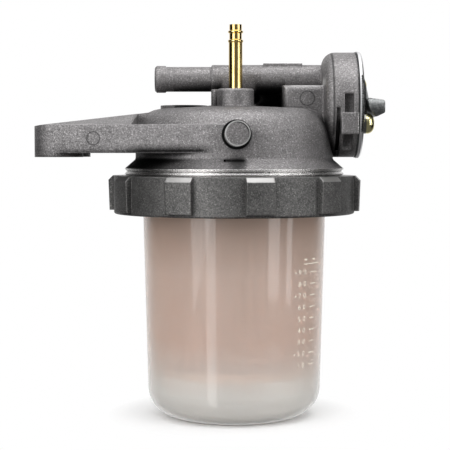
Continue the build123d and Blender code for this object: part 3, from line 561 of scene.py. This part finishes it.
def add_boss_marks(finish):
    """Painted shadow round the front boss's foot, a painted highlight on its rim and a painted shadow
    on the relief under it.
    """
    foot = boss_circle(finish, shift=-0.25 * MM, inset=0.15 * MM, width=0.9 * MM)
    finish.paint(foot, BOSS_FOOT_SHADOW)
    rim = boss_circle(finish, shift=0.1 * MM, inset=0.6 * MM, width=0.36 * MM)
    finish.paint(finish.all_of(rim, RIM_SHARE), RIM_HIGHLIGHT)
    off = finish.radius_from((BOSS_X, 0.0, SHADOW_PATCH_Z), Y)
    shadow_patch = finish.spread(off, *SHADOW_PATCH_FADE, SHADOW_PATCH_SHARE, 0.0)
    finish.paint(finish.all_of(shadow_patch, finish.short_of(Y, FRONT_Y)), SHADOW_PATCH_DARK)


def add_block_marks(finish):
    """Painted highlight on the fillet at the block's top, and a dark seam round the valve housing
    painted as the shade in its step.
    """
    fillet = finish.all_of(
        finish.fade(X, *FILLET_START),
        finish.fade(X, *FILLET_END, 1.0, 0.0),
        finish.fade(Z, *FILLET_RISE),
        finish.fade(Z, *FILLET_FALL, 1.0, 0.0),
        finish.short_of(Y, FRONT_Y),
        FILLET_SHARE,
    )
    finish.paint(fillet, FILLET_HIGHLIGHT)
    seam = finish.near(X, SEAM_X, *SEAM_HALF_W)
    finish.paint(finish.all_of(seam, finish.beyond(Z, SEAM_LOW_Z), SEAM_SHARE), CREASE_SHADE)


def make_head_finish():
    """Head: rough casting with its marks, and a turned thread and housing face."""
    finish = Finish("cast head", Metallic=1.0)
    add_casting(finish, HEAD_DARK, HEAD_LIGHT, corner=head_corner(finish), bare=open_places(finish))
    add_arm_shade(finish)
    add_crown(finish)
    add_ejector_marks(finish)
    add_boss_marks(finish)
    add_block_marks(finish)
    far_out = finish.math("GREATER_THAN", finish.radius_from(CUP_AXIS, Z), THREAD_MIN_R)
    thread = finish.all_of(far_out, finish.short_of(Z, THREAD_TOP_Z))
    turned = finish.most_of(thread, finish.beyond(X, HOUSING_FACE_X))
    add_machined(finish, turned, TURNED_HEAD, rough=0.25, across=finish.along(Z), pitch=0.3 * MM)
    finish.wear(NODES["head_casting"])


def make_ring_finish():
    """Ring nut: rough casting whose top face and lobe chamfers are turned bright."""
    finish = Finish("cast ring", Metallic=1.0)
    add_casting(finish, RING_DARK, RING_LIGHT)
    upward = finish.math("GREATER_THAN", finish.part_of(finish.object_normal, Z), FACING_UP)
    top = finish.all_of(finish.beyond(Z, CHAMFER_Z), upward)
    radius = finish.radius_from(CUP_AXIS, Z)
    add_machined(finish, top, TURNED_RING, rough=0.36, across=radius, pitch=0.25 * MM)
    finish.wear(NODES["ring_nut"])


def make_lever_finish():
    """Lever: a smoother casting, with little painted shade in its corners."""
    finish = Finish("cast lever", Metallic=1.0)
    add_casting(finish, LEVER_DARK, LEVER_LIGHT, grain=0.6 * MM, rough=0.42, bare=LEVER_UNSHADED)
    finish.wear(NODES["valve_lever"])


def make_brass_finish():
    """Polished brass, with a faint film and drawing marks along the pipe."""
    finish = Finish("brass", Metallic=1.0)
    film = finish.noise(3 * MM, 3.0)
    marks = finish.drawn_noise((6000, 6000, 300), 2.0)
    finish.dress(
        finish.mix(finish.spread(film, 0.35, 0.7), (0.79, 0.6, 0.25), (0.67, 0.475, 0.175)),
        finish.spread(film, *MOST_NOISE, 0.05, 0.12),
        finish.bump(marks, 0.003 * MM, finish.soft_normal(0.12 * MM)),
    )
    finish.wear(NODES["return_pipe"])


def make_rubber_finish():
    """Black rubber with a faint grey bloom."""
    finish = Finish("black rubber", Specular_IOR_Level=0.35)
    bloom = finish.noise(1.2 * MM, 4.0)
    finish.dress(
        finish.mix(bloom, (0.012, 0.012, 0.013), (0.03, 0.03, 0.031)),
        finish.spread(bloom, *MOST_NOISE, 0.5, 0.75),
        finish.bump(bloom, 0.03 * MM, finish.soft_normal(0.15 * MM)),
    )
    for name in ("bowl_seal", "element_grommet", "valve_seal", "lever_o_ring", "cover_gasket"):
        finish.wear(NODES[name])


def make_cup_finish():
    """Milky see-through plastic with a glossy skin, stained by fuel above the cup's bottom, with a
    painted shadow of the ring near its top.
    """
    finish = Finish(
        "milky plastic",
        Transmission_Weight=0.72,
        IOR=1.5,
        Coat_Weight=0.7,
        Coat_Roughness=0.06,
        Coat_IOR=1.5,
    )
    cloud = finish.noise(9 * MM, 3.0)
    wave = finish.spread(cloud, *MOST_NOISE, -STAIN_WAVE, STAIN_WAVE)
    wavy_height = finish.math("ADD", finish.along(Z), wave)
    stain_and_shade = finish.mix(cloud, (0.86, 0.7, 0.6), (0.89, 0.75, 0.67))
    # Painted shadow of the ring near the cup's top
    stain_and_shade = finish.mix(finish.fade(Z, *RING_SHADOW_RISE), stain_and_shade, (0.58, 0.425, 0.335))
    bare = finish.mix(cloud, (0.95, 0.93, 0.89), (0.97, 0.955, 0.925))
    finish.dress(
        finish.mix(finish.spread(wavy_height, *STAIN_RISE), bare, stain_and_shade),
        finish.spread(cloud, *MOST_NOISE, 0.4, 0.46),
        finish.bump(finish.noise(14 * MM, 1.0), 0.03 * MM),
    )
    finish.wear(NODES["bowl"])


def make_paper_finish():
    """Filter paper, paler at the bottom and darker further up."""
    finish = Finish("filter paper", Roughness=0.85, Specular_IOR_Level=0.2)
    fibre = finish.noise(0.5 * MM, 4.0, 0.7)
    low_tone = finish.mix(fibre, (0.86, 0.56, 0.4), (0.94, 0.65, 0.49))
    high_tone = finish.mix(fibre, (0.5, 0.29, 0.19), (0.6, 0.37, 0.26))
    colour = finish.mix(finish.fade(Z, *PAPER_DARK_RISE), low_tone, high_tone)
    finish.dress(colour, normal=finish.bump(fibre, 0.05 * MM))
    finish.wear(NODES["element_media"])


def make_plastic_finish(name, dark, light, *nodes):
    """Matte moulded plastic."""
    finish = Finish(name, Roughness=0.5)
    grain = finish.noise(0.8 * MM, 3.0)
    normal = finish.bump(grain, 0.02 * MM, finish.soft_normal(0.2 * MM))
    finish.dress(finish.mix(grain, dark, light), normal=normal)
    finish.wear(*[NODES[node] for node in nodes])


def make_steel_finish(name, dark, light, rough, scale, *nodes):
    """Bright steel with grain drawn out along one way."""
    finish = Finish(name, Metallic=1.0)
    tone = finish.drawn_noise(scale, 3.0)
    finish.dress(
        finish.mix(tone, dark, light),
        finish.spread(tone, *MOST_NOISE, rough - 0.06, rough + 0.08),
        finish.bump(tone, 0.008 * MM, finish.soft_normal(0.15 * MM)),
    )
    finish.wear(*[NODES[node] for node in nodes])
    return finish


def add_cover_rim(finish):
    """Dull rim of the cover, with a dark, finely notched band along its outer side."""
    sideways = finish.math("LESS_THAN", finish.part_of(finish.object_normal, X), FACING_OUT)
    far_out = finish.math("GREATER_THAN", finish.radius_from(VALVE_AXIS, X), RIM_MIN_R)
    rim = finish.all_of(sideways, far_out)
    up = finish.math("SUBTRACT", finish.along(Z), VALVE_Z)
    wave = finish.math("SINE", finish.math("MULTIPLY", up, 2 * math.pi / NOTCH_PITCH))
    start = finish.spread(wave, -1.0, 1.0, BAND_X - NOTCH_DEEP, BAND_X + NOTCH_DEEP)
    middle = finish.math("LESS_THAN", finish.math("ABSOLUTE", up), BAND_HALF_H)
    finish.paint(finish.all_of(rim, finish.beyond(X, start), middle), BAND_DARK)
    mixed_rough = finish.spread(rim, 0.0, 1.0, finish.roughness, RIM_ROUGH)
    finish.plug(finish.shader.inputs["Roughness"], mixed_rough)


def make_metal_finishes():
    """Spring steel, drawn tube, plated cover and yellow screws."""
    make_steel_finish(
        "spring steel", (0.42, 0.42, 0.42), (0.6, 0.6, 0.6), 0.28, (900, 900, 2500),
        "element_spring", "wave_washer",
    )
    make_steel_finish(
        "drawn tube", (0.5, 0.5, 0.5), (0.66, 0.66, 0.66), 0.3, (3000, 3000, 200),
        "standpipe",
    )
    cover = make_steel_finish(
        "plated cover", (0.62, 0.62, 0.63), (0.78, 0.78, 0.79), 0.2, (4000, 300, 300),
        "cover_plate",
    )
    add_cover_rim(cover)
    screws = make_steel_finish(
        "yellow zinc", (0.66, 0.58, 0.26), (0.84, 0.8, 0.5), 0.12, (1500, 1500, 1500),
        "cover_screw_front", "cover_screw_rear",
    )
    # Painted shade at the foot of each screw head, short of the cover's outer face
    screws.paint(screws.short_of(X, PLATE_HIGH.x), (0.22, 0.22, 0.2))


def make_finishes():
    """Materials of all CAD nodes."""
    make_head_finish()
    make_ring_finish()
    make_lever_finish()
    make_brass_finish()
    make_rubber_finish()
    make_cup_finish()
    make_paper_finish()
    make_plastic_finish(
        "element caps", (0.62, 0.41, 0.3), (0.7, 0.48, 0.36),
        "element_top_cap", "element_bottom_cap",
    )
    make_plastic_finish("element tube", (0.5, 0.37, 0.28), (0.58, 0.45, 0.35), "element_core")
    make_metal_finishes()


def new_piece(name, shape):
    """Object with the mesh of a bmesh, which is freed."""
    mesh = bpy.data.meshes.new(name)
    shape.to_mesh(mesh)
    shape.free()
    piece = bpy.data.objects.new(name, mesh)
    bpy.context.scene.collection.objects.link(piece)
    return piece


def add_digits(flat, text, low):
    """Digits as flat faces, from the font's own outlines, standing on a level line."""
    curve = bpy.data.curves.new("digits", "FONT")
    curve.body = text
    curve.size = DIGIT_SIZE
    curve.space_character = DIGIT_SPACING
    curve.resolution_u = 2
    holder = bpy.data.objects.new("digits", curve)
    bpy.context.scene.collection.objects.link(holder)
    bpy.context.view_layer.update()
    mesh = bpy.data.meshes.new_from_object(holder)
    bpy.data.objects.remove(holder)
    stretch = Matrix.Diagonal((DIGIT_STRETCH, 1.0, 1.0, 1.0))
    mesh.transform(Matrix.Translation((0.0, low, 0.0)) @ stretch)
    flat.from_mesh(mesh)
    bpy.data.meshes.remove(mesh)


def add_line(flat, left, right, low, width):
    """Level line as a row of short faces, so that it can bend round the cup."""
    steps = max(1, round((right - left) / LINE_STEP))
    edges = []
    for step in range(steps + 1):
        place = left + (right - left) * step / steps
        edges.append([flat.verts.new((place, low + up, 0.0)) for up in (0.0, width)])
    for (a, b), (c, d) in zip(edges, edges[1:]):
        flat.faces.new((a, c, d, b))


def wrap_on_cup(flat):
    """Lay a flat print on the cup's outer surface."""
    cup = NODES["bowl"]
    for vertex in flat.verts:
        turn = SCALE_TURN + vertex.co.x / CUP_R
        out = Vector((math.sin(turn), -math.cos(turn), 0.0))
        start = out * 2 * CUP_R + Vector((0.0, 0.0, vertex.co.y))
        hit, place = cup.ray_cast(start, -out)[:2]
        vertex.co = (place if hit else start) + out * PRINT_T


def make_scale():
    """Faint printed level scale on the cup: plain numbers, ticks and a rule above them."""
    flat = bmesh.new()
    for row in range(SCALE_ROWS):
        low = SCALE_TOP_Z - row * SCALE_STEP
        add_digits(flat, str(10 * (SCALE_ROWS - row)), low)
        add_line(flat, TICK_FROM, TICK_TO, low + TICK_RISE, LINE_W)
    for row in DOT_ROWS:
        add_line(flat, DOT_FROM, DOT_TO, SCALE_TOP_Z - row * SCALE_STEP + DOT_RISE, DOT_W)
    rule = SCALE_TOP_Z + RULE_RISE
    add_line(flat, RULE_FROM, RULE_TO, rule, LINE_W)
    for place in DASH_PLACES:
        left = RULE_FROM + place
        add_line(flat, left, left + DASH_L, rule + DASH_RISE, DOT_W)
    wrap_on_cup(flat)
    scale = new_piece("level_scale", flat)
    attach(scale, "cup")
    finish = Finish("pale print", Roughness=0.55)
    finish.dress(finish.mix(finish.noise(0.9 * MM, 3.0), PRINT_FAINT, PRINT_FULL))
    finish.wear(scale)


def make_toothed_ring():
    """Dark, finely toothed ring under the lever, seen edge-on beside the cover."""
    ring = bmesh.new()
    steps = TOOTH_STEPS * TEETH
    near_x = PLATE_HIGH.x + TOOTH_GAP
    far_x = near_x + TOOTH_T
    loops = []
    for step in range(steps):
        turn = 2 * math.pi * step / steps
        dip = 0.5 + 0.5 * math.sin(TEETH * turn)
        outer = TOOTH_OUT_R - TOOTH_DEEP * dip
        corners = []
        for radius, x in ((TOOTH_IN_R, near_x), (outer, near_x), (outer, far_x), (TOOTH_IN_R, far_x)):
            y = radius * math.cos(turn)
            z = VALVE_Z + radius * math.sin(turn)
            corners.append(ring.verts.new((x, y, z)))
        loops.append(corners)
    for here, there in zip(loops, loops[1:] + loops[:1]):
        for side in range(4):
            ring.faces.new((here[side], here[side - 1], there[side - 1], there[side]))
    bmesh.ops.recalc_face_normals(ring, faces=ring.faces)
    piece = new_piece("toothed_ring", ring)
    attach(piece, "lever")
    finish = Finish("dark toothed steel", Metallic=1.0, Roughness=0.5)
    finish.dress(finish.mix(finish.noise(0.6 * MM, 2.0), (0.02, 0.02, 0.02), (0.09, 0.09, 0.09)))
    finish.wear(piece)


def smooth_curves():
    """Shade round faces smooth and keep the edges sharp."""
    for node in NODES.values():
        node.data.shade_smooth()
        node.data.set_sharp_from_angle(angle=SMOOTH_UNDER)


def make_floor():
    """Pale floor that stays lit near the filter and fades to plain white further out."""
    place = (0, 0, -FLOOR_DROP)
    bpy.ops.mesh.primitive_circle_add(vertices=96, radius=FLOOR_R, fill_type="NGON", location=place)
    floor = bpy.context.object
    floor.name = "floor"
    floor.visible_glossy = False
    finish = Finish("floor", Roughness=0.9, Specular_IOR_Level=0.0)
    finish.dress(rgba(FLOOR_COLOUR))
    seen = finish.add("ShaderNodeLightPath").outputs
    seen_white = finish.most_of(
        seen["Is Camera Ray"],
        seen["Is Glossy Ray"],
        seen["Is Transmission Ray"],
    )
    fade = finish.spread(finish.radius_from(CUP_AXIS, Z), *FLOOR_FADE)
    white = finish.add("ShaderNodeEmission", Color=rgba((1.0, 1.0, 1.0)), Strength=1.0)
    blend = finish.add("ShaderNodeMixShader")
    finish.plug(blend.inputs[0], finish.all_of(seen_white, fade))
    finish.plug(blend.inputs[1], finish.shader.outputs[0])
    finish.plug(blend.inputs[2], white.outputs[0])
    finish.plug(finish.tree.nodes["Material Output"].inputs["Surface"], blend.outputs[0])
    finish.wear(floor)


def make_world():
    """White backdrop for the eye and in reflections, in a room that is dim towards the camera."""
    world = bpy.data.worlds.new("room")
    bpy.context.scene.world = world
    world.use_nodes = True
    room = Graph(world.node_tree)
    way = room.add("ShaderNodeTexCoord").outputs["Generated"]
    seen = room.add("ShaderNodeLightPath").outputs
    backdrop = room.spread(room.part_of(way, Y), BACKDROP_EDGE, BACKDROP_FULL, ROOM_DIM, 1.0)
    ceiling = room.spread(room.part_of(way, Z), CEILING_EDGE, CEILING_FULL, ROOM_DIM, CEILING_SEEN)
    sideways = room.math("ABSOLUTE", room.part_of(way, X))
    shade = room.spread(sideways, SIDE_EDGE, SIDE_FULL, 1.0, SIDE_SHARE)
    mirrored = room.all_of(room.most_of(backdrop, ceiling), shade)
    lit = room.spread(room.part_of(way, Z), -1.0, 1.0, ROOM_LIT_LOW, ROOM_LIT_HIGH)
    strength = room.add("ShaderNodeMix", Factor=seen["Is Glossy Ray"], A=lit, B=mirrored)
    plain = room.most_of(seen["Is Camera Ray"], seen["Is Transmission Ray"])
    strength = room.add("ShaderNodeMix", Factor=plain, A=strength.outputs["Result"], B=plain)
    background = room.tree.nodes["Background"]
    room.plug(background.inputs["Color"], rgba((1.0, 1.0, 1.0)))
    room.plug(background.inputs["Strength"], strength.outputs["Result"])


def make_lamp(name, azimuth, elevation, distance, size, radiance, roll=0.0):
    """Soft box at a direction from the filter; azimuth 0 is the front, 90 the right side."""
    turn, lift = math.radians(azimuth), math.radians(elevation)
    away = Vector((math.sin(turn) * math.cos(lift), -math.cos(turn) * math.cos(lift), math.sin(lift)))
    lamp = bpy.data.lights.new(name, "AREA")
    lamp.shape = "RECTANGLE"
    lamp.size, lamp.size_y = size
    lamp.energy = radiance * math.pi * size[0] * size[1]
    holder = bpy.data.objects.new(name, lamp)
    holder.location = Vector((0.0, 0.0, LAMPS_Z)) + away * distance
    rolled = away.to_track_quat("Z", "Y") @ Quaternion((0.0, 0.0, 1.0), math.radians(roll))
    holder.rotation_euler = rolled.to_euler()
    bpy.context.scene.collection.objects.link(holder)


def make_studio():
    """Floor, room and lamps."""
    make_floor()
    make_world()
    make_lamp("left strip", -29, -2, distance=0.7, size=(0.15, 1.3), radiance=3.0)
    make_lamp("left box", -46, 13, distance=0.74, size=(0.36, 0.62), radiance=2.6, roll=14)
    make_lamp("right box", 50, 13, distance=0.7, size=(0.2, 0.62), radiance=3.3)
    make_lamp("right strip", 72, 13, distance=0.7, size=(0.1, 0.62), radiance=3.4)
    make_lamp("top box", 0, 82, distance=0.7, size=(0.8, 0.7), radiance=2.4)


def make_camera():
    """Camera that frames the filter as the photograph does."""
    camera = bpy.data.cameras.new("camera")
    camera.lens = LENS
    camera.sensor_width = SENSOR
    camera.clip_start = CLIP_START
    holder = bpy.data.objects.new("camera", camera)
    holder.location = CAMERA_AT
    holder.rotation_euler = (math.radians(90 - CAMERA_DOWN), 0.0, 0.0)
    bpy.context.scene.collection.objects.link(holder)
    bpy.context.scene.camera = holder


make_finishes()
smooth_curves()
make_scale()
make_toothed_ring()
make_studio()
make_camera()
bpy.context.scene.view_settings.view_transform = "Standard"
